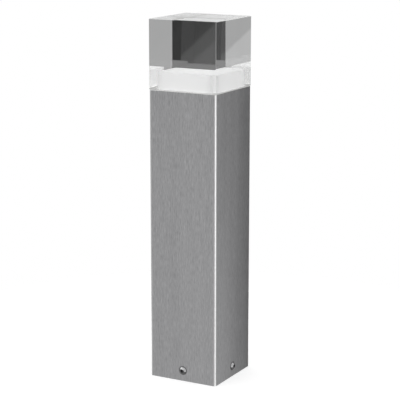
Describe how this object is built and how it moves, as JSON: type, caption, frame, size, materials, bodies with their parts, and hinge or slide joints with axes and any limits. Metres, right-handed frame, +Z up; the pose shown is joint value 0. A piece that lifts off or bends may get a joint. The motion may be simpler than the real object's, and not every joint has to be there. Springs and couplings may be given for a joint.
{
  "type": "bollard light",
  "caption": "Short square bollard light: a brushed steel post on a foot plate, topped by a clear acrylic block whose white-lined pocket takes the lamp.",
  "frame": {"origin": "centre of the square foot, on the ground", "axes": "+Z up along the post, X and Y across its flat faces, -Y is the front face"},
  "size_m": [0.108, 0.108, 0.5],
  "materials": {
    "brushed_post": "stainless steel, brushed along its length",
    "welded_steel": "plain stainless steel",
    "foot_steel": "stainless steel sheet, mill finish",
    "screw_steel": "bright stainless steel",
    "zinc_screws": "bright zinc plate",
    "black_rubber": "moulded rubber, matt",
    "terminal_grey": "moulded polyamide, satin",
    "contact_brass": "tinned brass strip",
    "lever_orange": "moulded plastic, satin",
    "core_insulation": "PVC core insulation in three colours",
    "earth_green": "green passivated steel",
    "lead_sheath": "rubber sheath, matt",
    "white_plastic": "moulded plastic, satin",
    "driver_white": "moulded polycarbonate, fine texture",
    "driver_board_green": "solder mask over glass-epoxy board",
    "transformer_yellow": "tape over a ferrite transformer",
    "capacitor_sleeve": "shrunk plastic sleeve",
    "cast_aluminium": "die casting, bead blasted",
    "lead_white": "PVC sheath",
    "thermal_silicone": "silicone gap pad",
    "board_white": "white solder mask over an aluminium core",
    "led_phosphor": "phosphor-filled silicone in a white frame",
    "opal_acrylic": "opal acrylic, satin",
    "white_silicone": "cast silicone, satin",
    "clear_acrylic": "solid clear cast acrylic, polished"
  },
  "bodies": {
    "root": {"post": "brushed_post", "post_brackets": "welded_steel", "foot_plate": "foot_steel", "weld_nuts": "welded_steel", "side_screws": "screw_steel", "cable_bush": "black_rubber", "terminal_bridge": "foot_steel", "bridge_screws": "zinc_screws", "terminal_base": "terminal_grey", "terminal_housing": "terminal_grey", "terminal_contacts": "contact_brass", "terminal_screws": "zinc_screws", "earth_lead": "core_insulation", "earth_tag": "welded_steel", "earth_screw": "earth_green", "supply_lead": "lead_sheath", "supply_cores": "core_insulation", "lead_clip": "white_plastic", "driver_case": "driver_white", "driver_lid": "driver_white", "driver_board": "driver_board_green", "driver_transformer": "transformer_yellow", "driver_capacitors": "capacitor_sleeve", "driver_bush": "black_rubber", "driver_screws": "zinc_screws", "head_carrier": "cast_aluminium", "carrier_screws": "zinc_screws", "carrier_bush": "black_rubber", "led_lead": "lead_white", "led_connector": "white_plastic", "thermal_pad": "thermal_silicone", "led_board": "board_white", "led_chips": "led_phosphor", "reflector_sheet": "white_plastic", "board_screws": "zinc_screws", "diffuser": "opal_acrylic", "head_seal": "white_silicone", "crystal_block": "clear_acrylic"},
    "lever_live": {"lever_live": "lever_orange"},
    "lever_neutral": {"lever_neutral": "lever_orange"},
    "lever_earth": {"lever_earth": "lever_orange"}
  },
  "joints": [
    {"name": "lever_live_pivot", "type": "hinge", "parent": "root", "child": "lever_live", "pos_m": [-0.01, -0.0175, 0.0564], "axis": [1, 0, 0], "range_deg": [0, 85]},
    {"name": "lever_neutral_pivot", "type": "hinge", "parent": "root", "child": "lever_neutral", "pos_m": [0, -0.0175, 0.0564], "axis": [1, 0, 0], "range_deg": [0, 85]},
    {"name": "lever_earth_pivot", "type": "hinge", "parent": "root", "child": "lever_earth", "pos_m": [0.01, -0.0175, 0.0564], "axis": [1, 0, 0], "range_deg": [0, 85]}
  ]
}
